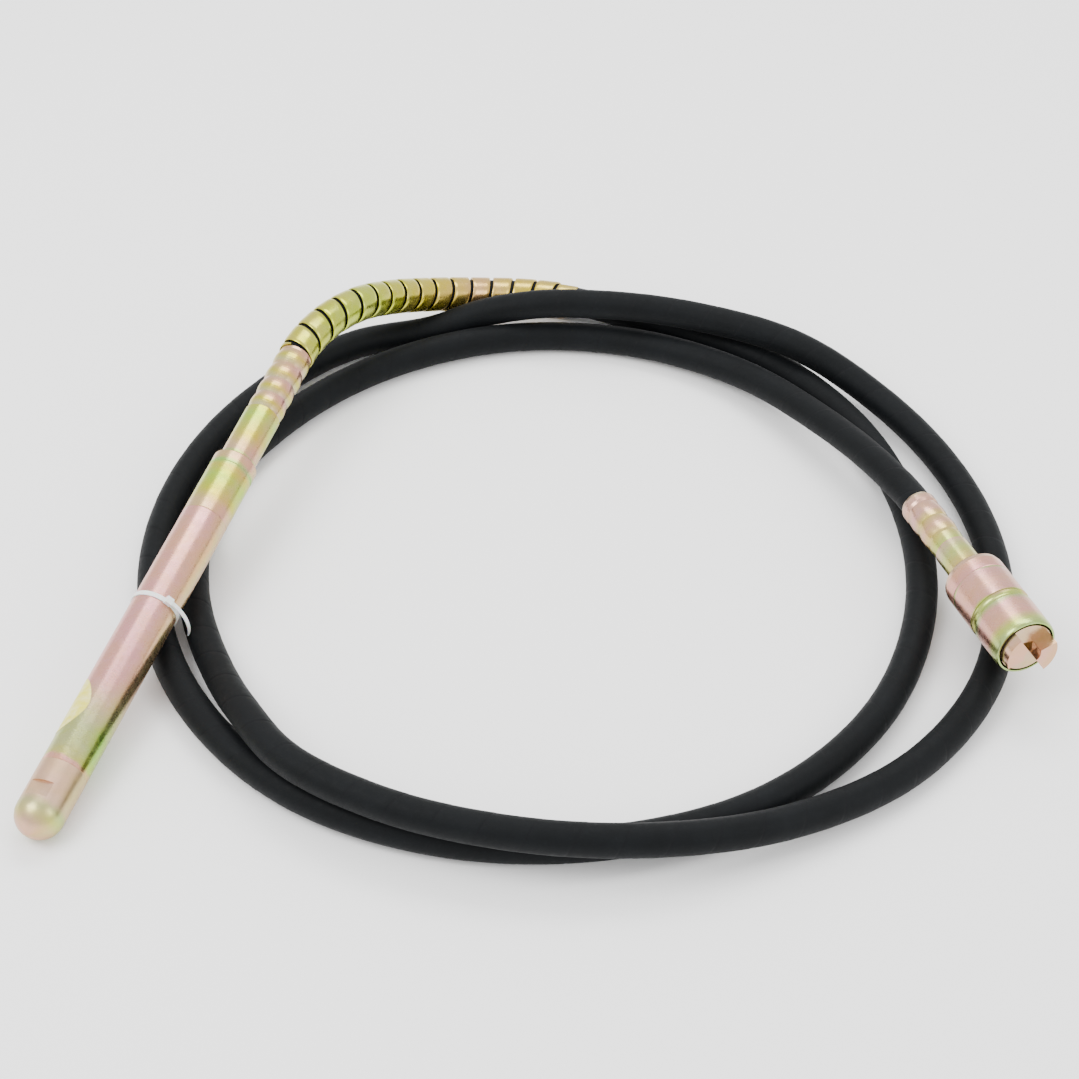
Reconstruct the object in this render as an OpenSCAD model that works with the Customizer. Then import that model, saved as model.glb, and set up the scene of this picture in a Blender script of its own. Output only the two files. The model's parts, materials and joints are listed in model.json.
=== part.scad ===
/* [Head] */
// Outside diameter of the vibrating head
head_d = 45; // [40:1:50]
// Length of the domed nose cap that shows
nose_l = 67.5; // [60:0.5:75]
// Length of the plain tube between nose cap and collar
tube_l = 302; // [296:1:330]
// Length of the collar behind the tube
collar_l = 76; // [70:1:85]
// Length of the neck between collar and ferrule
neck_l = 66; // [60:1:75]
// Length of the crimped ferrule on the hose behind the head
head_ferrule_l = 84; // [80:1:90]

/* [Hose] */
// Outside diameter of the rubber hose
hose_d = 30.5; // [29.5:0.1:31]
// Outside diameter of the flexible core that turns inside the hose
core_d = 12; // [10:0.5:13]
// Length along the hose of one turn of the spiral bend guard
guard_pitch = 25; // [24:0.5:30]
// Width of the bend guard's flat strip
guard_w = 21; // [18:0.5:22]
// Number of turns in the bend guard
guard_turns = 16; // [10:1:16]

/* [Drive end] */
// Outside diameter of the coupling barrel
barrel_d = 60; // [58:0.5:62]
// Length of the coupling barrel in front of its rear cap
barrel_l = 84; // [80:1:90]
// Length of the rear cap of the coupling
cap_l = 22; // [20:1:25]
// Diameter of the claw dog
dog_d = 50; // [46:0.5:51]
// How far the two claws stand out of the barrel's rim
claw_h = 12; // [8:0.5:14]
// Angle that each claw covers
claw_angle = 78; // [60:1:85]

/* [Hidden] */
$fn = 96;

// Colours
zinc_pink = [0.80, 0.67, 0.62];
zinc_yellow = [0.77, 0.74, 0.48];
zinc_green = [0.66, 0.78, 0.56];
rubber_black = [0.13, 0.14, 0.15];
steel = [0.62, 0.63, 0.65];

// Where the head lies: the middle of its nose dome, its heading from +Y towards +X, and its rise
head_pos = [-441, -365, 22.6];
head_turn = 19.2;
head_rise = 7.8;
// Where the coupling lies: the middle of its front rim, its heading and its rise
drive_pos = [432, -205, 66];
drive_turn = 160.5;
drive_rise = 3.5;

function heading(turn, rise) = [sin(turn) * cos(rise), cos(turn) * cos(rise), sin(rise)];
head_dir = heading(head_turn, head_rise);
drive_dir = heading(drive_turn, drive_rise);

// Head, measured along its axis from the tip
head_r = head_d / 2;
tube_z = nose_l;
collar_z = tube_z + tube_l;
neck_z = collar_z + collar_l;
head_ferrule_z = neck_z + neck_l;
mouth_z = head_ferrule_z + head_ferrule_l;
tube_bore_r = head_r - 4;
track_r = 15;
roll_r = 12;
neck_r = 18.2;
// Where the spindle drives the pendulum, the pendulum's lean, and its free end
pivot_z = 180;
pendulum_tip_z = 46;
pendulum_lean = 1.1;
// Bearings of the head: front faces, width, radii
front_bearing_z = 212;
rear_bearing_z = 296;
bearing_w = 13;
spindle_r = 8;

// Hose
hose_r = hose_d / 2;
hose_bore_r = 9.6;
hose_end_r = 13.9;
liner_r = 9.2;
liner_bore_r = 7.4;
core_r = core_d / 2;
tail_r = 8.9;
hose_sides = 12;
hose_gap = 0.5;
// Longest step between the hose's rings, on the free run and under the bend guard
ring_step = 76;
guard_ring_step = 27;
ferrule_bore_r = 14.3;
ferrule_r = 17;
guard_r = hose_r + 3.05;
guard_t = 2;
guard_steps = 20;
// Width of the strip at its start
guard_cut = 1.5;
guard_sample = 5;

// Coupling, measured along its axis from its front rim backwards
barrel_r = barrel_d / 2;
cap_z = barrel_l;
drive_neck_z = cap_z + cap_l;
drive_ferrule_z = drive_neck_z + 40;
drive_ferrule_l = 73;
drive_mouth_z = drive_ferrule_z + drive_ferrule_l;
barrel_bore_r = 27;
seat_r = 22;
seat_z = 34;
dog_r = dog_d / 2;
dog_l = 28;
dog_bearing_z = 46;
shaft_r = 8;
socket_w = 12;
// The claws stand round the socket, outside its corners
claw_in_r = socket_w * 0.72;
claw_turn = -18;

// Points of the hose's route that lie on the two fittings' axes
function on_head_axis(z) = head_pos + (z - head_r) * head_dir;
function on_drive_axis(z) = drive_pos - z * drive_dir;
hose_in_z = head_ferrule_z + hose_gap;
hose_out_z = drive_ferrule_z + hose_gap;
shoulder = 4;

// Under the bend guard: down from the raised head to the ground
guard_route = [
    on_head_axis(mouth_z + shoulder), [-229, 221, 104], [-200, 261, 97], [-168, 305, 74],
    [-126, 346, 47], [-75, 372, 28], [-22, 380, 20], [42, 367, 19]
];
// Round the ring on the ground: right, front, left
ground_route = [
    [110, 337, 16], [226, 276, 16], [314, 168, 16], [357, 32, 16], [352, -114, 16],
    [295, -248, 16], [186, -348, 16], [52, -391, 16], [-92, -388, 16], [-228, -332, 16],
    [-329, -221, 15.5], [-378, -78, 15.5], [-370, 64, 16], [-307, 202, 16], [-204, 298, 17]
];
// Over the end of the bend guard, round the outside, and over the ring at the front
upper_route = [
    [-118, 324, 18], [-70, 331, 33], [-20, 327, 47], [70, 319, 53], [170, 297, 52],
    [262, 259, 46], [345, 196, 24], [408, 87, 16], [432, -52, 16], [411, -182, 16], [330, -300, 16],
    [215, -374, 26], [90, -410, 42], [-40, -406, 48], [-150, -372, 48], [-234, -317, 46]
];
// Down beside the ring at the left, round the inside, and up over the ring to the coupling
inner_route = [
    [-272, -260, 38], [-301, -200, 24], [-340, -74, 16], [-337, 48, 16], [-272, 172, 16], [-165, 266, 16],
    [-40, 310, 16], [86, 302, 17], [196, 246, 23], [278, 150, 37], [334, 56, 49]
];
route = concat(
    guard_route, ground_route, upper_route, inner_route, [on_drive_axis(drive_mouth_z + shoulder)]
);

function unit(v) = v / norm(v);
function last(list) = list[len(list) - 1];
// Direction of the route at point i: the two neighbouring stretches, weighted by their lengths
function tangent(i) =
    i == 0 ? head_dir :
    i == len(route) - 1 ? drive_dir :
    let (a = route[i] - route[i - 1], b = route[i + 1] - route[i])
    unit(unit(a) * norm(b) + unit(b) * norm(a));
// Point at fraction t of the smooth stretch from route point i to the next
function on_stretch(i, t) =
    let (chord = norm(route[i + 1] - route[i]), s = 1 - t)
    (1 + 2 * t) * s * s * route[i] + t * s * s * chord * tangent(i)
    + t * t * (3 - 2 * t) * route[i + 1] - t * t * s * chord * tangent(i + 1);
function ring_count(i) =
    ceil(norm(route[i + 1] - route[i]) / (i < len(guard_route) - 1 ? guard_ring_step : ring_step));

run = [
    for (i = [0:len(route) - 2]) for (k = [0:ring_count(i) - 1]) on_stretch(i, k / ring_count(i)),
    last(route)
];
// The whole centreline, with the straight pieces inside the two ferrules
centre_line = concat(
    [on_head_axis(hose_in_z), on_head_axis(mouth_z)], run,
    [on_drive_axis(drive_mouth_z), on_drive_axis(hose_out_z)]
);
rings = len(centre_line);

function direction(line, i) =
    unit(line[min(i + 1, len(line) - 1)] - line[max(i - 1, 0)]);
// Ring of points round a line's point i
function ring(line, i, r, sides) =
    let (
        ahead = i <= 2 ? head_dir : i >= len(line) - 3 ? drive_dir : direction(line, i),
        side = unit(cross(ahead, [0, 0, 1])),
        up = cross(side, ahead)
    )
    [for (k = [0:sides - 1]) line[i] + r * (cos(360 * k / sides) * side + sin(360 * k / sides) * up)];
// Outside radius of the hose, which is squeezed inside the ferrules
function hose_ring_r(i) = i < 2 || i > rings - 3 ? hose_end_r : hose_r;

function flat(list) = [for (part = list) each part];
// Triangles between ring a and ring b of a swept body
function band(a, b, sides) = flat([
    for (k = [0:sides - 1])
        let (n = (k + 1) % sides)
        [[a * sides + k, b * sides + k, a * sides + n], [a * sides + n, b * sides + k, b * sides + n]]
]);
// A tube from its outer rings and its inner rings
module swept_tube(outer, inner, sides) {
    loops = concat(outer, [for (i = [len(inner) - 1:-1:0]) inner[i]]);
    count = len(loops);
    polyhedron(points = flat(loops), faces = flat([for (i = [0:count - 1]) band(i, (i + 1) % count, sides)]));
}
// A solid bar through a list of rings
module swept_bar(loops, sides) {
    count = len(loops);
    start_face = [for (k = [0:sides - 1]) k];
    end_face = [for (k = [sides - 1:-1:0]) (count - 1) * sides + k];
    polyhedron(
        points = flat(loops),
        faces = concat([start_face], flat([for (i = [0:count - 2]) band(i, i + 1, sides)]), [end_face])
    );
}

// Places a piece on the head's axis: local z runs from the tip to the hose, local y points down
module on_head(z = 0) {
    translate(head_pos)
        rotate([head_rise - 90, 0, -head_turn])
            translate([0, 0, z - head_r])
                children();
}
// Places a piece on the coupling's axis: local z runs from the front rim back along the hose
module on_drive(z = 0) {
    translate(drive_pos)
        rotate([drive_rise - 90, 0, -drive_turn])
            mirror([0, 0, 1])
                translate([0, 0, z])
                    children();
}
module tube(r_out, r_in, l) {
    difference() {
        cylinder(h = l, r = r_out);
        translate([0, 0, -1])
            cylinder(h = l + 2, r = r_in);
    }
}
module turned(profile) {
    rotate_extrude()
        polygon(profile);
}

// Head
nose_spigot_l = 26;
flat_z = 29;
flat_l = 15;
flat_depth = 3;
module nose_cap() color(zinc_pink) on_head() difference() {
    union() {
        intersection() {
            translate([0, 0, head_r])
                sphere(r = head_r);
            cylinder(h = head_r, r = head_r);
        }
        translate([0, 0, head_r])
            cylinder(h = nose_l - head_r, r = head_r);
        translate([0, 0, nose_l])
            cylinder(h = nose_spigot_l, r = tube_bore_r - 0.05);
    }
    translate([0, 0, 34])
        cylinder(h = nose_l + nose_spigot_l, r = track_r);
    for (turn = [80, 260])
        rotate(turn)
            translate([head_r - flat_depth, -head_r, flat_z])
                cube([head_r, head_d, flat_l]);
    translate([0, 0, nose_l + 12])
        rotate_extrude()
            translate([tube_bore_r, 0])
                circle(r = 1.5, $fn = 32);
}
module nose_o_ring() color(rubber_black) on_head(nose_l + 12)
    rotate_extrude()
        translate([tube_bore_r - 0.2, 0])
            intersection() {
                circle(r = 1.25, $fn = 32);
                translate([-2, -2])
                    square([2.1, 4]);
            }
module head_tube() color(zinc_pink) on_head(tube_z) turned([
    [tube_bore_r, 0], [head_r - 0.5, 0], [head_r, 0.5], [head_r, tube_l - 0.5],
    [head_r - 0.5, tube_l], [tube_bore_r, tube_l]
]);
collar_spigot_l = 24;
collar_bore_r = 15;
module head_collar() color(zinc_yellow) on_head(collar_z) difference() {
    turned([
        [11, -collar_spigot_l], [tube_bore_r - 0.05, -collar_spigot_l], [tube_bore_r - 0.05, 0],
        [head_r - 0.5, 0], [head_r, 0.5], [head_r, collar_l - 17.5], [head_r - 0.6, collar_l - 17],
        [head_r - 0.6, collar_l - 15.5], [head_r, collar_l - 15], [head_r, collar_l - 2.5],
        [head_r - 2.5, collar_l], [collar_bore_r, collar_l], [collar_bore_r, collar_l - 32],
        [11, collar_l - 32]
    ]);
    translate([0, 0, -12])
        rotate_extrude()
            translate([tube_bore_r, 0])
                circle(r = 1.5, $fn = 32);
}
module collar_o_ring() color(rubber_black) on_head(collar_z - 12)
    rotate_extrude()
        translate([tube_bore_r - 0.2, 0])
            intersection() {
                circle(r = 1.25, $fn = 32);
                translate([-2, -2])
                    square([2.1, 4]);
            }
module head_neck() color(zinc_yellow) on_head(neck_z) turned([
    [core_r + 1.2, -30], [collar_bore_r - 0.05, -30], [collar_bore_r - 0.05, 0], [neck_r, 0],
    [neck_r, neck_l - 1.5], [neck_r - 1.5, neck_l], [tail_r, neck_l], [tail_r, neck_l + 60],
    [core_r + 1.2, neck_l + 60]
]);
// Outline of a crimped sleeve: a row of round swellings, n points on each
function crimps(count, pitch, z, r, swell, n = 8) = [
    for (i = [0:count * n]) [r + swell * abs(sin(180 * i / n)), z + pitch * i / n]
];
module head_ferrule() color(zinc_green) on_head(head_ferrule_z) turned(concat(
    [[ferrule_bore_r, head_ferrule_l], [ferrule_bore_r, 0]],
    crimps(4, (head_ferrule_l - 3) / 4, 0, ferrule_r - 0.3, 1.5),
    [[ferrule_r - 0.3, head_ferrule_l]]
));

// Blank oval sticker, bent round the tube
label_z = 128;
label_turn = -153;
module head_label() color("gold") on_head(label_z) rotate(label_turn) intersection() {
    translate([0, 0, -40])
        tube(head_r + 0.2, head_r + 0.02, 80);
    rotate([0, 90, 0])
        linear_extrude(height = head_d)
            scale([1.55, 1])
                circle(r = 20);
}
// Nylon tie: strap round the tube, lock and free tail
tie_z = 256;
tie_w = 4.6;
tie_t = 1.1;
tie_turn = -45;
tail_turn_r = 45;
module cable_tie() color("white") on_head(tie_z) {
    tube(head_r + tie_t, head_r, tie_w);
    rotate(tie_turn)
        translate([head_r + 0.4, -4, -1.2])
            cube([5, 7, tie_w + 2.4]);
    rotate(tie_turn)
        translate([head_r + 3.2 - tail_turn_r, 0, 0])
            rotate_extrude(angle = 62)
                translate([tail_turn_r, 0.3])
                    square([tie_t, tie_w - 0.6]);
}

// Spiral bend guard, wound along the first stretch of the hose
guard_run = [
    on_head_axis(mouth_z - 6),
    for (i = [0:len(guard_route) + 1])
        let (n = ceil(norm(route[i + 1] - route[i]) / guard_sample))
        for (k = [0:n - 1]) on_stretch(i, k / n)
];
guard_marks = [
    for (i = 0, s = 0; i < len(guard_run);
        s = s + (i < len(guard_run) - 1 ? norm(guard_run[i + 1] - guard_run[i]) : 0), i = i + 1) s
];
guard_table = [for (a = [0:2]) [for (i = [0:len(guard_run) - 1]) [guard_marks[i], guard_run[i][a]]]];
function guard_at(s) = [for (a = [0:2]) lookup(s, guard_table[a])];
// Point of the strip at distance s along the hose, at an angle and a radius round it
function guard_point(s, turn, r) =
    let (
        ahead = unit(guard_at(s + 3) - guard_at(max(s - 3, 0))),
        side = unit(cross(ahead, [0, 0, 1])),
        up = cross(side, ahead)
    )
    guard_at(s) + r * (cos(turn) * side + sin(turn) * up);
guard_start = 6.5;
// The strip's first turn is cut square, to sit flat against the ferrule
module bend_guard() color(zinc_yellow) swept_bar([
    for (k = [0:guard_turns * guard_steps])
        let (
            turn = 360 * k / guard_steps + 100,
            high = guard_start + guard_cut + guard_pitch * k / guard_steps,
            low = max(guard_start, high - guard_w)
        )
        [
            guard_point(low, turn, guard_r - guard_t), guard_point(low, turn, guard_r),
            guard_point(high, turn, guard_r), guard_point(high, turn, guard_r - guard_t)
        ]
], 4);

module hose() color(rubber_black) swept_tube(
    [for (i = [0:rings - 1]) ring(centre_line, i, hose_ring_r(i), hose_sides)],
    [for (i = [0:rings - 1]) ring(centre_line, i, hose_bore_r, hose_sides)],
    hose_sides
);
module hose_liner() color(steel) swept_tube(
    [for (i = [1:rings - 2]) ring(centre_line, i, liner_r, hose_sides)],
    [for (i = [1:rings - 2]) ring(centre_line, i, liner_bore_r, hose_sides)],
    hose_sides
);
module flexible_core() color("gray") swept_bar(
    [for (i = [0:rings - 1]) ring(centre_line, i, core_r, hose_sides)], hose_sides
);

// Works of the head
module pendulum() color(steel) on_head(pivot_z) rotate([pendulum_lean, 0, 0]) turned([
    [0, pendulum_tip_z - pivot_z], [roll_r - 1, pendulum_tip_z - pivot_z],
    [roll_r, pendulum_tip_z - pivot_z + 1],
    [roll_r, -108], [9, -104], [9, -88], [14, -82], [14, -26], [7, -20], [5, -10], [5, 4], [0, 4]
]);
module flex_joint() color(rubber_black) on_head(pivot_z) turned([
    [6, -12], [13, -12], [13, 14], [0, 14], [0, 7], [6, 7]
]);
module spindle() color(steel) on_head(pivot_z + 14) turned([
    [0, 0], [13, 0], [13, 10], [spindle_r, 14], [spindle_r, 160], [5, 160], [5, 140], [0, 140]
]);
module bearing_outer(r, w) {
    difference() {
        tube(r, r - 3.2, w);
        translate([0, 0, w / 2])
            rotate_extrude()
                translate([r - 5, 0])
                    circle(r = 2.9, $fn = 32);
    }
}
module bearing_inner(r_out, r_in, ball_ring_r, w) {
    difference() {
        tube(r_out, r_in, w);
        translate([0, 0, w / 2])
            rotate_extrude()
                translate([ball_ring_r, 0])
                    circle(r = 2.9, $fn = 32);
    }
}
module bearing_balls(ball_ring_r, count, w) {
    for (k = [0:count - 1])
        rotate(360 * k / count)
            translate([ball_ring_r, 0, w / 2])
                sphere(r = 2.5, $fn = 32);
}
head_race_r = tube_bore_r - 0.03;
head_balls_r = head_race_r - 5;
module front_bearing_outer() color(steel) on_head(front_bearing_z) bearing_outer(head_race_r, bearing_w);
module front_bearing_balls() color("silver") on_head(front_bearing_z) bearing_balls(head_balls_r, 11, bearing_w);
module front_bearing_inner() color(steel) on_head(front_bearing_z)
    bearing_inner(head_race_r - 6.8, spindle_r, head_balls_r, bearing_w);
module rear_bearing_outer() color(steel) on_head(rear_bearing_z) bearing_outer(head_race_r, bearing_w);
module rear_bearing_balls() color("silver") on_head(rear_bearing_z) bearing_balls(head_balls_r, 11, bearing_w);
module rear_bearing_inner() color(steel) on_head(rear_bearing_z)
    bearing_inner(head_race_r - 6.8, spindle_r, head_balls_r, bearing_w);
module bearing_spacer() color("slategray") on_head(front_bearing_z + bearing_w)
    tube(head_race_r, head_race_r - 2.5, rear_bearing_z - front_bearing_z - bearing_w);
module spindle_circlip() color("dimgray") on_head(rear_bearing_z + bearing_w + 0.1)
    tube(spindle_r + 2, spindle_r, 1.5);
module oil_seal() color(rubber_black) on_head(rear_bearing_z + bearing_w + 3) turned([
    [spindle_r + 0.3, 4], [spindle_r + 2.5, 0], [head_race_r - 4, 0], [head_race_r - 4, 5],
    [head_race_r - 1, 5], [head_race_r - 1, 0], [head_race_r, 0], [head_race_r, 7],
    [head_race_r - 5, 7], [spindle_r + 0.3, 5]
]);
// Square end pieces that the flexible core turns
tip_w = 6.6;
module core_tip(l, l_square) {
    cylinder(h = l, r = core_r - 0.4);
    translate([-tip_w / 2, -tip_w / 2, -l_square])
        cube([tip_w, tip_w, l_square]);
}
core_tip_z = pivot_z + 14 + 160;
module core_tip_head() color("dimgray") on_head(core_tip_z)
    core_tip(head_ferrule_z + hose_gap - 0.5 - core_tip_z, 18);

// Drive end
module drive_ferrule() color(zinc_pink) on_drive(drive_ferrule_z) turned(concat(
    [[ferrule_bore_r, drive_ferrule_l], [ferrule_bore_r, 0], [ferrule_r - 1.2, 0], [ferrule_r - 0.4, 12]],
    crimps(2, 22, 16, ferrule_r - 0.8, 1.3),
    [[ferrule_r + 0.4, drive_ferrule_l - 10], [ferrule_r + 0.4, drive_ferrule_l - 3],
        [ferrule_r - 0.8, drive_ferrule_l]]
));
drive_neck_r = 17;
neck_in_l = 28;
module drive_neck() color(zinc_yellow) on_drive() turned([
    [core_r + 3.4, drive_neck_z - neck_in_l], [drive_neck_r, drive_neck_z - neck_in_l],
    [drive_neck_r, drive_ferrule_z - 0.6], [drive_neck_r - 0.6, drive_ferrule_z], [tail_r, drive_ferrule_z],
    [tail_r, drive_ferrule_z + 50], [core_r + 1.2, drive_ferrule_z + 50],
    [core_r + 1.2, drive_ferrule_z - 15], [core_r + 3.4, drive_ferrule_z - 20]
]);
module coupling_rear_cap() color(zinc_pink) on_drive(cap_z) turned([
    [drive_neck_r, -6], [drive_neck_r, cap_l], [barrel_r - 4, cap_l], [barrel_r - 1, cap_l - 3.5],
    [barrel_r, cap_l - 8], [barrel_r, 0.5], [barrel_r - 0.5, 0], [seat_r - 0.05, 0],
    [seat_r - 0.05, -12], [drive_neck_r + 2, -12], [drive_neck_r + 2, -6]
]);
lock_groove_z = 45;
lock_groove_w = 9;
lock_groove_depth = 3.4;
// Half-round section of the locking groove, n points
function groove_arc(z, w, depth, r, n = 10) = [
    for (i = [n:-1:0]) [r - depth * sin(180 * i / n), z - w / 2 * cos(180 * i / n)]
];
// Rounded front edge, from the outside diameter to the rim
function front_edge(l, r, drop, n = 6) = [
    for (i = [0:n]) [r - drop * (1 - cos(90 * i / n)), l - l * sin(90 * i / n)]
];
front_round_l = 8;
front_drop = 1.6;
module coupling_barrel() color(zinc_green) on_drive() turned(concat(
    [[seat_r, barrel_l], [barrel_r - 0.5, barrel_l], [barrel_r, barrel_l - 0.5]],
    groove_arc(lock_groove_z, lock_groove_w, lock_groove_depth, barrel_r),
    front_edge(front_round_l, barrel_r, front_drop),
    [[barrel_bore_r, 0], [barrel_bore_r, seat_z], [seat_r, seat_z]]
));
gap_half = 90 - claw_angle / 2;
module claw_dog() color(zinc_pink) on_drive() difference() {
    translate([0, 0, -claw_h])
        cylinder(h = claw_h + dog_l, r = dog_r);
    translate([0, 0, -claw_h - 1])
        cylinder(h = claw_h + 1, r = claw_in_r);
    for (turn = [claw_turn + 90, claw_turn + 270])
        rotate(turn)
            translate([0, 0, -claw_h - 1])
                linear_extrude(claw_h + 1)
                    polygon([
                        [0, 0], [2 * dog_r * cos(gap_half), -2 * dog_r * sin(gap_half)], [2 * dog_r, 0],
                        [2 * dog_r * cos(gap_half), 2 * dog_r * sin(gap_half)]
                    ]);
    translate([-socket_w / 2, -socket_w / 2, -1])
        cube([socket_w, socket_w, 11]);
    translate([0, 0, dog_l - 10])
        cylinder(h = 11, r = shaft_r);
}
shaft_l = 72;
module dog_shaft() color(steel) on_drive(dog_l - 10) turned([
    [0, 0], [shaft_r, 0], [shaft_r, shaft_l], [5, shaft_l], [5, shaft_l - 22], [0, shaft_l - 22]
]);
dog_race_r = seat_r - 0.03;
dog_balls_r = dog_race_r - 5;
module dog_bearing_outer() color(steel) on_drive(dog_bearing_z) bearing_outer(dog_race_r, bearing_w);
module dog_bearing_balls() color("silver") on_drive(dog_bearing_z) bearing_balls(dog_balls_r, 13, bearing_w);
sleeve_r = 12;
module dog_bearing_inner() color(steel) on_drive(dog_bearing_z)
    bearing_inner(dog_race_r - 6.8, sleeve_r, dog_balls_r, bearing_w);
module dog_bearing_sleeve() color("slategray") on_drive(dog_l)
    tube(sleeve_r, shaft_r, dog_bearing_z + bearing_w - dog_l);
module barrel_circlip() color("dimgray") on_drive(dog_bearing_z - 2.1)
    tube(dog_race_r, dog_race_r - 3, 2);
module shaft_nut() color("dimgray") on_drive(dog_bearing_z + bearing_w) difference() {
    cylinder(h = 7, r = 13.5, $fn = 6);
    translate([0, 0, -1])
        cylinder(h = 9, r = shaft_r);
}
drive_tip_z = dog_l - 10 + shaft_l;
module core_tip_drive() color("dimgray") on_drive(drive_tip_z)
    core_tip(drive_ferrule_z - drive_tip_z, 18);

nose_cap();
head_tube();
head_collar();
nose_o_ring();
collar_o_ring();
head_label();
cable_tie();
head_neck();
head_ferrule();
bend_guard();
hose();
hose_liner();
flexible_core();
pendulum();
flex_joint();
spindle();
front_bearing_outer();
front_bearing_balls();
front_bearing_inner();
rear_bearing_outer();
rear_bearing_balls();
rear_bearing_inner();
bearing_spacer();
spindle_circlip();
oil_seal();
core_tip_head();
drive_ferrule();
drive_neck();
coupling_rear_cap();
coupling_barrel();
claw_dog();
dog_shaft();
dog_bearing_outer();
dog_bearing_balls();
dog_bearing_inner();
dog_bearing_sleeve();
barrel_circlip();
shaft_nut();
core_tip_drive();
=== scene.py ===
import json
import math

import bpy
import bmesh
import numpy as np
from mathutils import Matrix, Vector


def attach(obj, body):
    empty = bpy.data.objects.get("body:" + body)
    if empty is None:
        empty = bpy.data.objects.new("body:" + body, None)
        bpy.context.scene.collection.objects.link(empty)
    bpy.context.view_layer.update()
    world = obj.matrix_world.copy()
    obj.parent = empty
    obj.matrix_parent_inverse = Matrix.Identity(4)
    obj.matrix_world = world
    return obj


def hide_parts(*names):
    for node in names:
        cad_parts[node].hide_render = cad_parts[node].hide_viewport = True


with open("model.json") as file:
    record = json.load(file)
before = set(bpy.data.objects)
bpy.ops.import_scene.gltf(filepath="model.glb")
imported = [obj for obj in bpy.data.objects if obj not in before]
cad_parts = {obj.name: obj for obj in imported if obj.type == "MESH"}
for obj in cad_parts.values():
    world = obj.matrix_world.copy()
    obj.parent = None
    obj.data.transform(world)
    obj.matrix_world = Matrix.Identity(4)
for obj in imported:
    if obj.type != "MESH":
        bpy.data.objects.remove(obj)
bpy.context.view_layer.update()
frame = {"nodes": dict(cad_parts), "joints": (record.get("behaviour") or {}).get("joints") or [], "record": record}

MM = 0.001
UP = Vector((0, 0, 1))

# Sizes of the real pieces, in metres, as in the CAD model
HOSE_D = 0.0305
HOSE_R = HOSE_D / 2
HOSE_END_R = 0.0139
GUARD_R = HOSE_R + 0.00305
GUARD_PITCH = 0.025
GUARD_W = 0.021
GUARD_T = 0.002
GUARD_TURNS = 16

# Places along the head, from its tip
TUBE_Z = 0.0675
COLLAR_Z = TUBE_Z + 0.302
NECK_Z = COLLAR_Z + 0.076
FERRULE_Z = NECK_Z + 0.066
MOUTH_Z = FERRULE_Z + 0.084
SPINDLE_MARK_Z = 0.200
# Places along the coupling, back from its rim
CAP_Z = 0.084
DRIVE_NECK_Z = CAP_Z + 0.022
DRIVE_FERRULE_Z = DRIVE_NECK_Z + 0.040
DRIVE_MOUTH_Z = DRIVE_FERRULE_Z + 0.073
SHOULDER = 0.004

joints = {joint["name"]: joint for joint in frame["joints"]}
mounts = {mount["name"]: mount for mount in frame["record"]["mounts"]}
head_dir = -Vector(joints["spindle_spin"]["axis"]).normalized()
head_tip = Vector(joints["spindle_spin"]["pos_m"]) - head_dir * SPINDLE_MARK_Z
drive_dir = Vector(mounts["drive_claw"]["axis"]).normalized()
rim_pos = Vector(mounts["drive_claw"]["pos_m"])


def axis_frame(origin, along):
    """Matrix from a fitting's own coordinates (x right, y down, z along it) to the scene's."""
    right = along.cross(UP).normalized()
    down = along.cross(right)
    m = Matrix((right, down, along)).transposed().to_4x4()
    m.translation = origin
    return m


HEAD = axis_frame(head_tip, head_dir)
DRIVE = axis_frame(rim_pos, drive_dir)


# ---------------------------------------------------------------- camera
CAMERA_TILT = 43.0
CAMERA_POS = (-0.008, -1.704, 1.597)
LENS = 79.0


def add_camera():
    data = bpy.data.cameras.new("camera")
    data.lens = LENS
    data.sensor_width = 36
    cam = bpy.data.objects.new("camera", data)
    cam.location = CAMERA_POS
    cam.rotation_euler = (math.radians(90 - CAMERA_TILT), 0, 0)
    bpy.context.collection.objects.link(cam)
    bpy.context.scene.camera = cam


add_camera()


# ---------------------------------------------------------------- the hose's route, as in the CAD model
def on_head(z):
    return head_tip + head_dir * z


def on_drive(z):
    return rim_pos - drive_dir * z


GUARD_ROUTE = [
    (-0.229, 0.221, 0.104), (-0.200, 0.261, 0.097), (-0.168, 0.305, 0.074), (-0.126, 0.346, 0.047),
    (-0.075, 0.372, 0.028), (-0.022, 0.380, 0.020), (0.042, 0.367, 0.019),
]
GROUND_ROUTE = [
    (0.110, 0.337, 0.016), (0.226, 0.276, 0.016), (0.314, 0.168, 0.016), (0.357, 0.032, 0.016),
    (0.352, -0.114, 0.016), (0.295, -0.248, 0.016), (0.186, -0.348, 0.016), (0.052, -0.391, 0.016),
    (-0.092, -0.388, 0.016), (-0.228, -0.332, 0.016), (-0.329, -0.221, 0.0155), (-0.378, -0.078, 0.0155),
    (-0.370, 0.064, 0.016), (-0.307, 0.202, 0.016), (-0.204, 0.298, 0.017),
]
UPPER_ROUTE = [
    (-0.118, 0.324, 0.018), (-0.070, 0.331, 0.033), (-0.020, 0.327, 0.047), (0.070, 0.319, 0.053),
    (0.170, 0.297, 0.052), (0.262, 0.259, 0.046), (0.345, 0.196, 0.024), (0.408, 0.087, 0.016),
    (0.432, -0.052, 0.016), (0.411, -0.182, 0.016), (0.330, -0.300, 0.016), (0.215, -0.374, 0.026),
    (0.090, -0.410, 0.042), (-0.040, -0.406, 0.048), (-0.150, -0.372, 0.048), (-0.234, -0.317, 0.046),
]
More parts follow.
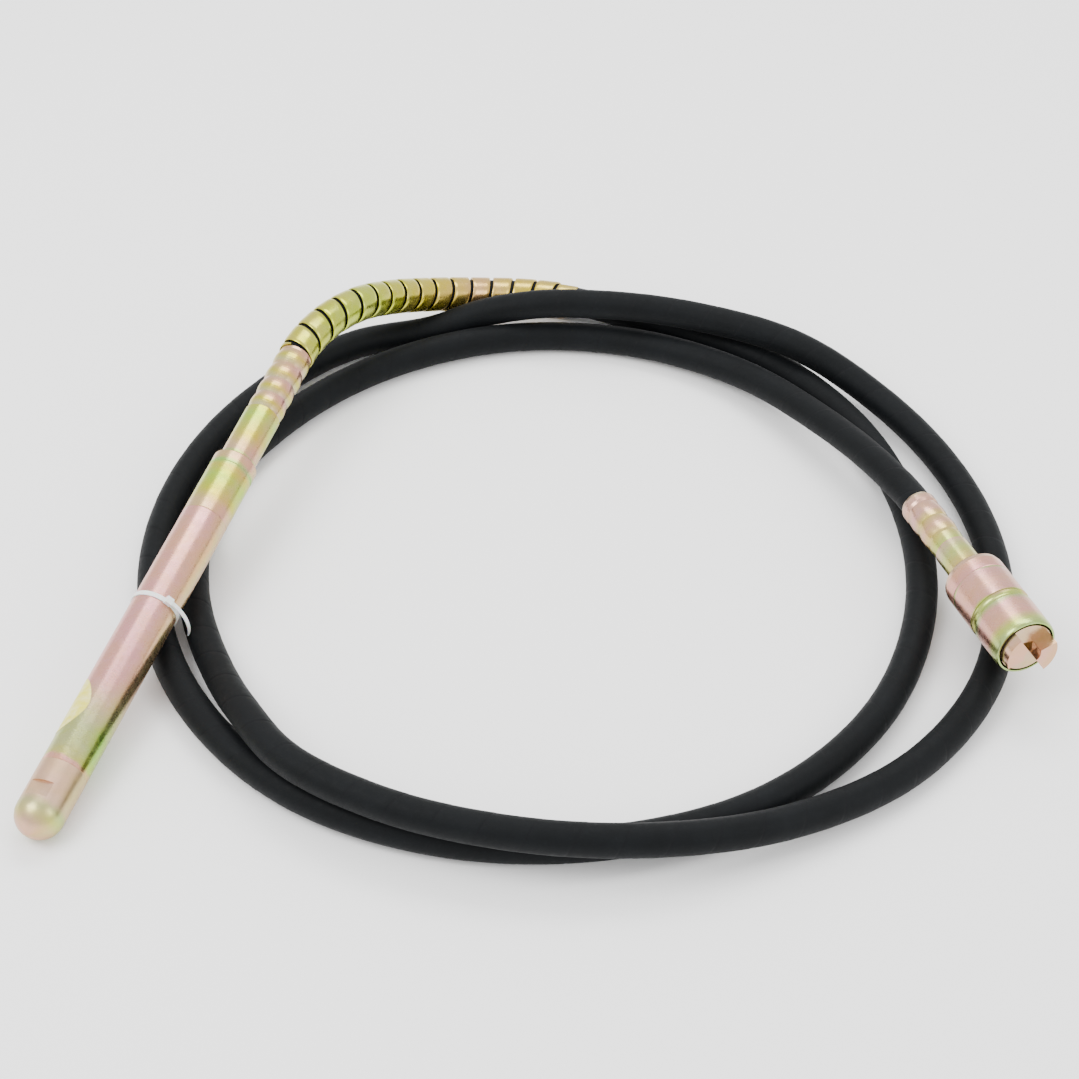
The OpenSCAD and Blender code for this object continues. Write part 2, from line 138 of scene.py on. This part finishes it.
INNER_ROUTE = [
    (-0.272, -0.260, 0.038), (-0.301, -0.200, 0.024), (-0.340, -0.074, 0.016), (-0.337, 0.048, 0.016),
    (-0.272, 0.172, 0.016), (-0.165, 0.266, 0.016), (-0.040, 0.310, 0.016), (0.086, 0.302, 0.017),
    (0.196, 0.246, 0.023), (0.278, 0.150, 0.037), (0.334, 0.056, 0.049),
]
ROUTE = [Vector(p) for p in GUARD_ROUTE + GROUND_ROUTE + UPPER_ROUTE + INNER_ROUTE]
PATH_STEP = 0.003


def smooth_route(points, start_dir, end_dir, step):
    """Dense points of the smooth curve through the route's points."""
    last = len(points) - 1
    directions = [start_dir]
    for i in range(1, last):
        a = points[i] - points[i - 1]
        b = points[i + 1] - points[i]
        directions.append((a.normalized() * b.length + b.normalized() * a.length).normalized())
    directions.append(end_dir)
    dense = []
    for i in range(last):
        chord = (points[i + 1] - points[i]).length
        count = max(1, math.ceil(chord / step))
        for k in range(count):
            t = k / count
            s = 1 - t
            dense.append(
                (1 + 2 * t) * s * s * points[i] + t * s * s * chord * directions[i]
                + t * t * (3 - 2 * t) * points[i + 1] - t * t * s * chord * directions[i + 1]
            )
    return dense + [points[last]]


class Line:
    """A curve that can be asked for its point and its cross-section's directions at any length."""

    def __init__(self, points):
        self.points = np.array([tuple(p) for p in points])
        steps = np.linalg.norm(np.diff(self.points, axis=0), axis=1)
        self.marks = np.concatenate([[0], np.cumsum(steps)])
        self.length = float(self.marks[-1])

    def at(self, s):
        s = np.asarray(s, float)
        return np.stack([np.interp(s, self.marks, self.points[:, a]) for a in range(3)], axis=-1)

    def sections(self, s, reach=0.004):
        s = np.asarray(s, float)
        ahead = self.at(np.minimum(s + reach, self.length)) - self.at(np.maximum(s - reach, 0))
        ahead /= np.linalg.norm(ahead, axis=-1, keepdims=True)
        side = np.cross(ahead, np.array([0.0, 0.0, 1.0]))
        side /= np.linalg.norm(side, axis=-1, keepdims=True)
        return side, np.cross(side, ahead)

    def around(self, s, angle, radius):
        """Points at an angle and a radius round the line; all three are arrays of one shape."""
        side, up = self.sections(s)
        spoke = np.cos(angle)[..., None] * side + np.sin(angle)[..., None] * up
        return self.at(s) + radius[..., None] * spoke


free_run = smooth_route(
    [on_head(MOUTH_Z + SHOULDER)] + ROUTE + [on_drive(DRIVE_MOUTH_Z + SHOULDER)],
    head_dir, drive_dir, PATH_STEP,
)
HOSE_IN = 0.020
hose_line = Line([on_head(MOUTH_Z - HOSE_IN)] + free_run + [on_drive(DRIVE_MOUTH_Z - HOSE_IN)])


# ---------------------------------------------------------------- mesh helpers
def link(name, mesh):
    obj = bpy.data.objects.new(name, mesh)
    bpy.context.collection.objects.link(obj)
    return obj


def finish_mesh(mesh, sharp=35):
    for polygon in mesh.polygons:
        polygon.use_smooth = True
    mesh.set_sharp_from_angle(angle=math.radians(sharp))
    mesh.update()


def mesh_from(name, verts, faces, sharp=35):
    mesh = bpy.data.meshes.new(name)
    mesh.from_pydata([tuple(v) for v in verts], [], [tuple(f) for f in faces])
    work = bmesh.new()
    work.from_mesh(mesh)
    bmesh.ops.remove_doubles(work, verts=work.verts, dist=1e-7)
    bmesh.ops.dissolve_degenerate(work, edges=work.edges, dist=1e-7)
    bmesh.ops.recalc_face_normals(work, faces=work.faces)
    work.to_mesh(mesh)
    work.free()
    finish_mesh(mesh, sharp)
    return mesh


def set_material(obj, material):
    obj.data.materials.clear()
    obj.data.materials.append(material)


def node_material(node, material):
    obj = frame["nodes"][node]
    for slot in obj.material_slots:
        slot.material = material


# ---------------------------------------------------------------- materials
def new_material(name):
    material = bpy.data.materials.new(name)
    material.use_nodes = True
    tree = material.node_tree
    return material, tree, tree.nodes["Principled BSDF"]


def add(tree, kind, **values):
    node = tree.nodes.new(kind)
    for key, value in values.items():
        setattr(node, key, value)
    return node


def ramp(tree, stops, factor, interpolation="LINEAR"):
    node = add(tree, "ShaderNodeValToRGB")
    node.color_ramp.interpolation = interpolation
    while len(node.color_ramp.elements) > 1:
        node.color_ramp.elements.remove(node.color_ramp.elements[-1])
    node.color_ramp.elements[0].position = stops[0][0]
    node.color_ramp.elements[0].color = (*stops[0][1], 1)
    for place, color in stops[1:]:
        node.color_ramp.elements.new(place).color = (*color, 1)
    tree.links.new(factor, node.inputs["Fac"])
    return node.outputs["Color"]


def math_node(tree, operation, a, b=None):
    node = add(tree, "ShaderNodeMath", operation=operation)
    for socket, value in zip(node.inputs, (a, b)):
        if value is None:
            continue
        if isinstance(value, (int, float)):
            socket.default_value = value
        else:
            tree.links.new(value, socket)
    return node.outputs[0]


def noise(tree, vector, scale, detail=3.0, roughness=0.5):
    node = add(tree, "ShaderNodeTexNoise")
    node.inputs["Scale"].default_value = scale
    node.inputs["Detail"].default_value = detail
    node.inputs["Roughness"].default_value = roughness
    tree.links.new(vector, node.inputs["Vector"])
    return node.outputs["Fac"]


def mix(tree, a, b, factor, blend="MIX"):
    node = add(tree, "ShaderNodeMix", data_type="RGBA", blend_type=blend)
    if isinstance(factor, (int, float)):
        node.inputs["Factor"].default_value = factor
    else:
        tree.links.new(factor, node.inputs["Factor"])
    for name, value in (("A", a), ("B", b)):
        socket = [i for i in node.inputs if i.name == name and i.type == "RGBA"][0]
        if isinstance(value, tuple):
            socket.default_value = (*value, 1)
        else:
            tree.links.new(value, socket)
    return [o for o in node.outputs if o.type == "RGBA"][0]


def map_range(tree, value, low, high, out_low=0.0, out_high=1.0):
    node = add(tree, "ShaderNodeMapRange")
    tree.links.new(value, node.inputs["Value"])
    for key, number in (("From Min", low), ("From Max", high), ("To Min", out_low), ("To Max", out_high)):
        node.inputs[key].default_value = number
    return node.outputs[0]


def bump(tree, shader, height, strength, distance):
    node = add(tree, "ShaderNodeBump")
    node.inputs["Strength"].default_value = strength
    node.inputs["Distance"].default_value = distance
    tree.links.new(height, node.inputs["Height"])
    tree.links.new(node.outputs["Normal"], shader.inputs["Normal"])


def local_coordinates(tree, place):
    """Coordinates along and round a fitting: x right, y down, z along, in metres."""
    coordinates = add(tree, "ShaderNodeTexCoord")
    mapping = add(tree, "ShaderNodeMapping")
    inverse = place.inverted()
    mapping.inputs["Location"].default_value = inverse.translation
    mapping.inputs["Rotation"].default_value = inverse.to_euler()
    tree.links.new(coordinates.outputs["Object"], mapping.inputs["Vector"])
    return mapping.outputs["Vector"]


# Colours of yellow-passivated zinc
PINK = (0.66, 0.31, 0.24)
ROSE = (0.63, 0.28, 0.30)
YELLOW = (0.54, 0.42, 0.03)
LIME = (0.34, 0.55, 0.05)
GREEN = (0.19, 0.50, 0.11)
PALE = (0.54, 0.42, 0.28)
TAN = (0.56, 0.38, 0.24)
SPECK_GRAY = (0.72, 0.72, 0.72)
# How far noise moves the colour bands, and how much clouds, tint and specks add to them
BAND_WOBBLE = 0.16
CLOUD_SHARE = 0.14
TINT_SHARE = 0.35
SPECK_SHARE = 0.25
ZINC_METALLIC = 0.93
# The fine lines left by turning lie across the length
LATHE_LINES = (20, 20, 2600)


def zinc(name, place, lengthwise, z_from, z_to, around, painted_sheen_share=0.5, tint=None, rough=(0.2, 0.34)):
    """Yellow-passivated zinc: soft bands of its own colour along a fitting, and painted sheen round it, blurred by
    noise.
    """
    material, tree, shader = new_material(name)
    vector = local_coordinates(tree, place)
    axes = add(tree, "ShaderNodeSeparateXYZ")
    tree.links.new(vector, axes.inputs[0])
    x, y, z = axes.outputs
    drift = noise(tree, vector, 22, 2.0)
    wobble = math_node(tree, "MULTIPLY", math_node(tree, "SUBTRACT", drift, 0.5), BAND_WOBBLE)
    along = math_node(tree, "ADD", map_range(tree, z, z_from, z_to), wobble)
    # Painted sheen: the zinc's own colours are set round the axis by which side faces up or sideways, standing in
    # for the iridescent tints the light gives each side
    turn = math_node(tree, "ARCTAN2", y, x)
    sheen_turn = math_node(tree, "ADD", map_range(tree, turn, -math.pi, math.pi), wobble)
    color = mix(tree, ramp(tree, lengthwise, along), ramp(tree, around, sheen_turn), painted_sheen_share)
    cloud = noise(tree, vector, 55, 4.0, 0.6)
    clouds = ramp(tree, [(0.3, ROSE), (0.45, PALE), (0.58, YELLOW), (0.72, GREEN)], cloud)
    color = mix(tree, color, clouds, CLOUD_SHARE)
    if tint:
        color = mix(tree, color, tint, TINT_SHARE)
    specks = ramp(tree, [(0.35, SPECK_GRAY), (0.5, (1, 1, 1))], noise(tree, vector, 900, 2.0))
    color = mix(tree, color, specks, SPECK_SHARE, "MULTIPLY")
    tree.links.new(color, shader.inputs["Base Color"])
    shader.inputs["Metallic"].default_value = ZINC_METALLIC
    smear = noise(tree, vector, 130, 4.0, 0.65)
    tree.links.new(map_range(tree, smear, 0.3, 0.7, rough[0], rough[1]), shader.inputs["Roughness"])
    lathe = add(tree, "ShaderNodeMapping")
    lathe.inputs["Scale"].default_value = LATHE_LINES
    tree.links.new(vector, lathe.inputs["Vector"])
    bump(tree, shader, noise(tree, lathe.outputs["Vector"], 1.0, 2.0), 0.12, 0.0002)
    return material


def hose_rubber():
    material, tree, shader = new_material("hose_rubber")
    coordinates = add(tree, "ShaderNodeTexCoord")
    vector = coordinates.outputs["Object"]
    groove_shade = add(tree, "ShaderNodeAttribute", attribute_name="groove_shade")
    patches = noise(tree, vector, 18, 5.0, 0.62)
    dust = noise(tree, vector, 160, 6.0, 0.7)
    base = ramp(tree, [(0.3, (0.002, 0.0026, 0.003)), (0.7, (0.004, 0.005, 0.006))], patches)
    dusty = ramp(tree, [(0.55, (0.0, 0.0, 0.0)), (0.85, (0.008, 0.009, 0.010))], dust)
    color = mix(tree, base, dusty, 0.5, "ADD")
    # Painted shade darkens the wrap's groove, by the amount stored on each row of the hose
    color = mix(tree, color, (0.003, 0.003, 0.004), math_node(tree, "MULTIPLY", groove_shade.outputs["Fac"], 0.6))
    tree.links.new(color, shader.inputs["Base Color"])
    tree.links.new(map_range(tree, dust, 0.3, 0.7, 0.52, 0.68), shader.inputs["Roughness"])
    shader.inputs["Specular IOR Level"].default_value = 0.1
    shader.inputs["Sheen Weight"].default_value = 0.02
    shader.inputs["Sheen Roughness"].default_value = 0.5
    weave = add(tree, "ShaderNodeTexVoronoi")
    weave.inputs["Scale"].default_value = 1100
    tree.links.new(vector, weave.inputs["Vector"])
    bump(tree, shader, weave.outputs["Distance"], 0.25, 0.0003)
    return material


def plain_rubber():
    material, tree, shader = new_material("seal_rubber")
    coordinates = add(tree, "ShaderNodeTexCoord")
    grain = noise(tree, coordinates.outputs["Object"], 300, 4.0)
    tree.links.new(ramp(tree, [(0.3, (0.012, 0.012, 0.012)), (0.7, (0.03, 0.03, 0.03))], grain),
                   shader.inputs["Base Color"])
    shader.inputs["Roughness"].default_value = 0.45
    bump(tree, shader, grain, 0.1, 0.0002)
    return material


def machined_steel():
    material, tree, shader = new_material("machined_steel")
    coordinates = add(tree, "ShaderNodeTexCoord")
    vector = coordinates.outputs["Object"]
    streaks = noise(tree, vector, 240, 5.0, 0.6)
    tree.links.new(ramp(tree, [(0.3, (0.42, 0.43, 0.45)), (0.7, (0.62, 0.63, 0.64))], streaks),
                   shader.inputs["Base Color"])
    tree.links.new(map_range(tree, streaks, 0.3, 0.7, 0.18, 0.36), shader.inputs["Roughness"])
    shader.inputs["Metallic"].default_value = 1.0
    bump(tree, shader, streaks, 0.08, 0.0002)
    return material


def nylon():
    material, tree, shader = new_material("nylon")
    coordinates = add(tree, "ShaderNodeTexCoord")
    grain = noise(tree, coordinates.outputs["Object"], 420, 3.0)
    tree.links.new(ramp(tree, [(0.3, (0.74, 0.76, 0.74)), (0.7, (0.88, 0.89, 0.88))], grain),
                   shader.inputs["Base Color"])
    tree.links.new(map_range(tree, grain, 0.3, 0.7, 0.28, 0.4), shader.inputs["Roughness"])
    shader.inputs["Subsurface Weight"].default_value = 0.25
    shader.inputs["Subsurface Scale"].default_value = 0.002
    bump(tree, shader, grain, 0.08, 0.0002)
    return material


def sticker():
    """A plain blank label, a little rubbed."""
    material, tree, shader = new_material("sticker")
    coordinates = add(tree, "ShaderNodeTexCoord")
    vector = coordinates.outputs["Object"]
    rub = noise(tree, vector, 140, 5.0, 0.6)
    tree.links.new(ramp(tree, [(0.32, (0.80, 0.74, 0.30)), (0.6, (0.72, 0.66, 0.05))], rub),
                   shader.inputs["Base Color"])
    tree.links.new(map_range(tree, rub, 0.3, 0.7, 0.3, 0.42), shader.inputs["Roughness"])
    bump(tree, shader, rub, 0.06, 0.0001)
    return material


seal_rubber = plain_rubber()
steel_material = machined_steel()
nylon_material = nylon()
hose_material = hose_rubber()

# Colours along the pieces: 0 at the first length given, 1 at the second
tube_along = [(0.0, PINK), (0.015, LIME), (0.07, GREEN), (0.14, GREEN), (0.24, PALE), (0.32, ROSE),
              (0.6, ROSE), (0.85, PINK), (1.0, ROSE)]
# Colours round the pieces: the zinc's own colours laid out by side as painted sheen, the tints the light gives
# each side
tube_sheen_round = [(0.0, PINK), (0.2, PINK), (0.3, ROSE), (0.36, PINK), (0.42, YELLOW), (0.47, LIME),
               (0.55, YELLOW), (0.7, PALE), (0.85, LIME), (1.0, PINK)]
ring_sheen_round = [(0.0, YELLOW), (0.2, LIME), (0.33, YELLOW), (0.42, PINK), (0.5, LIME), (0.7, PALE),
               (1.0, YELLOW)]
zinc_tube = zinc("zinc_tube", HEAD, tube_along, TUBE_Z, COLLAR_Z, tube_sheen_round, 0.4)
zinc_collar = zinc(
    "zinc_collar", HEAD,
    [(0.0, ROSE), (0.12, PINK), (0.25, YELLOW), (0.55, LIME), (0.72, YELLOW), (0.8, GREEN), (0.86, PINK),
     (1.0, ROSE)],
    COLLAR_Z, NECK_Z, ring_sheen_round, 0.35)
zinc_neck = zinc(
    "zinc_neck", HEAD, [(0.0, GREEN), (0.08, ROSE), (0.2, PINK), (0.4, YELLOW), (0.8, LIME), (1.0, YELLOW)],
    NECK_Z, FERRULE_Z, ring_sheen_round, 0.35)
CRIMPS = 4
crimp_stops = []
for k in range(CRIMPS):
    start = k / CRIMPS
    crimp_stops += [(start + 0.01, PALE), (start + 0.08, YELLOW), (start + 0.15, PINK), (start + 0.22, ROSE)]
zinc_crimps = zinc("zinc_crimps", HEAD, crimp_stops, FERRULE_Z, MOUTH_Z, ring_sheen_round, 0.3)
# Along the nose, the lime and green at the dome are a painted highlight; the pink and tan are the zinc's own
# colour
zinc_nose = zinc(
    "zinc_nose", HEAD,
    [(0.0, PINK), (0.1, TAN), (0.2, LIME), (0.32, GREEN), (0.42, PALE), (0.55, TAN), (1.0, TAN)],
    0.0, TUBE_Z, tube_sheen_round, 0.35, tint=TAN, rough=(0.28, 0.42))
# The coupling's place with z running back from its rim. A mapping node can't mirror, so x and y
# are measured from a line beside the axis and the painted sheen round these pieces changes only slowly
BACK = DRIVE @ Matrix.Diagonal((1, 1, -1, 1))
zinc_barrel = zinc(
    "zinc_barrel", BACK,
    [(0.0, GREEN), (0.1, LIME), (0.2, PINK), (0.4, ROSE), (0.48, GREEN), (0.58, LIME), (0.62, ROSE),
     (0.8, PINK), (0.97, ROSE), (1.0, GREEN)],
    0.0, CAP_Z, [(0.0, PINK), (0.3, TAN), (0.45, ROSE), (0.6, PINK), (0.8, TAN), (1.0, PINK)], 0.3)
zinc_cap = zinc(
    "zinc_cap", BACK, [(0.0, ROSE), (0.5, PINK), (0.8, PALE), (1.0, ROSE)], CAP_Z, DRIVE_NECK_Z,
    [(0.0, PINK), (0.4, TAN), (0.6, PINK), (1.0, PINK)], 0.3)
zinc_drive_neck = zinc(
    "zinc_drive_neck", BACK, [(0.0, ROSE), (0.2, YELLOW), (0.6, LIME), (0.9, PALE), (1.0, ROSE)],
    DRIVE_NECK_Z, DRIVE_FERRULE_Z, ring_sheen_round, 0.45)
zinc_drive_ferrule = zinc(
    "zinc_drive_ferrule", BACK,
    [(0.0, LIME), (0.2, YELLOW), (0.35, PINK), (0.5, YELLOW), (0.62, ROSE), (0.75, PINK), (0.9, ROSE),
     (1.0, PALE)],
    DRIVE_FERRULE_Z, DRIVE_MOUTH_Z, ring_sheen_round, 0.35)
zinc_dog = zinc("zinc_dog", BACK, [(0.0, PINK), (0.5, PALE), (1.0, ROSE)], -0.012, 0.028, tube_sheen_round, 0.2,
                rough=(0.16, 0.28))
# The colours round the guard are painted sheen, set by side in one fixed frame; the bands along it are the zinc's
# own colour
zinc_guard = zinc(
    "zinc_guard", Matrix.Translation((-0.1, 0.3, 0.02)) @ Matrix.Rotation(math.radians(90), 4, "Y"),
    [(0.0, YELLOW), (0.25, LIME), (0.45, YELLOW), (0.6, PINK), (0.75, YELLOW), (1.0, PALE)], -0.17, 0.17,
    [(0.0, YELLOW), (0.3, LIME), (0.5, YELLOW), (0.65, PINK), (0.8, YELLOW), (1.0, YELLOW)], 0.45)


# ---------------------------------------------------------------- hose
# One turn of the cloth wrap: distance behind the seam, height over the plain surface in mm, and
# how much shade is painted into the groove there
WRAP_PITCH = 0.040
WRAP_ROWS = [
    (0.0, -0.14, 1.0), (0.0007, 0.02, 0.0), (0.0022, 0.10, 0.0), (0.006, 0.08, 0.0), (0.013, 0.04, 0.0),
    (0.021, 0.0, 0.0), (0.029, -0.02, 0.0), (0.036, -0.04, 0.0), (0.0388, -0.06, 0.35),
]
HOSE_SIDES = 40
# The rubber swells to its full size over this length, from just inside a ferrule's mouth
LIP = 0.004
LIP_START = HOSE_IN - 0.001


def hose_radius(s):
    """Radius of the rubber, which is squeezed inside the ferrules."""
    from_end = np.minimum(s, hose_line.length - s) - LIP_START
    return HOSE_END_R + (HOSE_R - HOSE_END_R) * np.clip(from_end / LIP, 0, 1) ** 0.5


def build_hose():
    """The rubber tube, with its rows of points along the wrap's helix."""
    turns = math.ceil(hose_line.length / WRAP_PITCH) + 2
    per_turn = len(WRAP_ROWS)
    rows = [(turn - 1) * WRAP_PITCH + place for turn in range(turns) for place, _, _ in WRAP_ROWS]
    lift = [height * MM for _ in range(turns) for _, height, _ in WRAP_ROWS]
    groove_shades = [painted_shade for _ in range(turns) for _, _, painted_shade in WRAP_ROWS]
    angle = 2 * math.pi * np.arange(HOSE_SIDES) / HOSE_SIDES
    s = np.array(rows)[:, None] + WRAP_PITCH * (np.arange(HOSE_SIDES) / HOSE_SIDES)[None]
    s = np.clip(s, 0, hose_line.length)
    radius = hose_radius(s) + np.array(lift)[:, None]
    verts = hose_line.around(s, np.broadcast_to(angle, s.shape), radius)
    faces = []
    for i in range(len(rows) - per_turn - 1):
        for j in range(HOSE_SIDES):
            if j < HOSE_SIDES - 1:
                a, b, c, d = (i, j), (i, j + 1), (i + 1, j + 1), (i + 1, j)
            else:
                a, b, c, d = (i, j), (i + per_turn, 0), (i + per_turn + 1, 0), (i + 1, j)
            corner_s = [s[p] for p in (a, b, c, d)]
            if max(corner_s) - min(corner_s) < 1e-9:
                continue
            faces.append([p[0] * HOSE_SIDES + p[1] for p in (a, b, c, d)])
    mesh = bpy.data.meshes.new("rubber_hose")
    mesh.from_pydata([tuple(v) for v in verts.reshape(-1, 3)], [], faces)
    groove_shade = mesh.attributes.new("groove_shade", "FLOAT", "POINT")
    groove_shade.data.foreach_set("value", np.repeat(groove_shades, HOSE_SIDES))
    work = bmesh.new()
    work.from_mesh(mesh)
    loose = [v for v in work.verts if not v.link_faces]
    bmesh.ops.delete(work, geom=loose, context="VERTS")
    bmesh.ops.remove_doubles(work, verts=work.verts, dist=1e-6)
    bmesh.ops.dissolve_degenerate(work, edges=work.edges, dist=1e-6)
    bmesh.ops.holes_fill(work, edges=[e for e in work.edges if e.is_boundary], sides=0)
    bmesh.ops.recalc_face_normals(work, faces=work.faces)
    work.to_mesh(mesh)
    work.free()
    finish_mesh(mesh, 60)
    obj = link("rubber_hose", mesh)
    set_material(obj, hose_material)
    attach(obj, "casing")
    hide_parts("hose")


build_hose()


# ---------------------------------------------------------------- bend guard
# Gap to the ferrule, and the strip's width at its start
GUARD_START = 0.0005
GUARD_CUT = 0.0015
# Section of the strip: share of its width, and height over its middle
STRIP = [(0.0, -0.0006), (0.02, -0.001), (0.98, -0.001), (1.0, -0.0006), (1.0, 0.0003), (0.96, 0.0009),
         (0.8, 0.001), (0.2, 0.001), (0.04, 0.0009), (0.0, 0.0003)]
GUARD_STEPS = 60
GUARD_FIRST_ANGLE = math.radians(100)


def build_guard():
    """The spring strip, cut square where it meets the ferrule."""
    count = GUARD_TURNS * GUARD_STEPS + 1
    turns = np.arange(count) / GUARD_STEPS
    start = HOSE_IN + GUARD_START
    angle = 2 * math.pi * turns + GUARD_FIRST_ANGLE
    high = start + GUARD_CUT + GUARD_PITCH * turns
    low = np.maximum(start, high - GUARD_W)
    rings = []
    for share, height in STRIP:
        radius = np.full(count, GUARD_R - GUARD_T / 2 + height)
        rings.append(hose_line.around(low + (high - low) * share, angle, radius))
    verts = np.stack(rings, axis=1).reshape(-1, 3)
    sides = len(STRIP)
    faces = [
        [i * sides + k, i * sides + (k + 1) % sides, (i + 1) * sides + (k + 1) % sides, (i + 1) * sides + k]
        for i in range(count - 1) for k in range(sides)
    ]
    faces += [list(range(sides)), [(count - 1) * sides + k for k in range(sides)][::-1]]
    obj = link("spring_guard", mesh_from("spring_guard", verts, faces, 50))
    set_material(obj, zinc_guard)
    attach(obj, "casing")
    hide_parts("bend_guard")


build_guard()


# ---------------------------------------------------------------- materials of the CAD nodes
NODE_MATERIALS = {
    "nose_cap": zinc_nose, "head_tube": zinc_tube, "head_collar": zinc_collar, "head_neck": zinc_neck,
    "head_ferrule": zinc_crimps, "coupling_barrel": zinc_barrel, "coupling_rear_cap": zinc_cap,
    "drive_neck": zinc_drive_neck, "drive_ferrule": zinc_drive_ferrule, "claw_dog": zinc_dog,
    "cable_tie": nylon_material, "head_label": sticker(), "nose_o_ring": seal_rubber,
    "collar_o_ring": seal_rubber, "flex_joint": seal_rubber, "oil_seal": seal_rubber,
}
REPLACED = ("hose", "bend_guard")
for node in frame["nodes"]:
    if node not in REPLACED:
        node_material(node, NODE_MATERIALS.get(node, steel_material))


# ---------------------------------------------------------------- floor and light
FLOOR_HALF = 6


def add_floor():
    """A plain pale floor."""
    corners = [(-FLOOR_HALF, -FLOOR_HALF, 0), (FLOOR_HALF, -FLOOR_HALF, 0),
               (FLOOR_HALF, FLOOR_HALF, 0), (-FLOOR_HALF, FLOOR_HALF, 0)]
    mesh = bpy.data.meshes.new("floor")
    mesh.from_pydata(corners, [], [(0, 1, 2, 3)])
    floor = link("floor", mesh)
    material, tree, shader = new_material("floor")
    shader.inputs["Base Color"].default_value = (1.0, 1.0, 1.0, 1)
    shader.inputs["Roughness"].default_value = 0.7
    shader.inputs["Specular IOR Level"].default_value = 0.1
    set_material(floor, material)


def add_light(name, place, size, power, target=(0, 0, 0)):
    data = bpy.data.lights.new(name, "AREA")
    data.shape = "RECTANGLE"
    data.size, data.size_y = size
    data.energy = power
    light = bpy.data.objects.new(name, data)
    light.location = place
    light.rotation_euler = (Vector(target) - Vector(place)).to_track_quat("-Z", "Y").to_euler()
    bpy.context.collection.objects.link(light)


def add_world(strength):
    world = bpy.data.worlds.new("studio")
    world.use_nodes = True
    background = world.node_tree.nodes["Background"]
    background.inputs["Color"].default_value = (1, 1, 1, 1)
    background.inputs["Strength"].default_value = strength
    bpy.context.scene.world = world


add_floor()
add_world(1.6)
add_light("key", (-1.6, -0.6, 2.4), (1.6, 1.6), 60)
add_light("top", (0.3, 1.4, 2.6), (2.4, 1.0), 50)
add_light("fill", (2.2, -1.2, 1.8), (1.2, 1.6), 25)
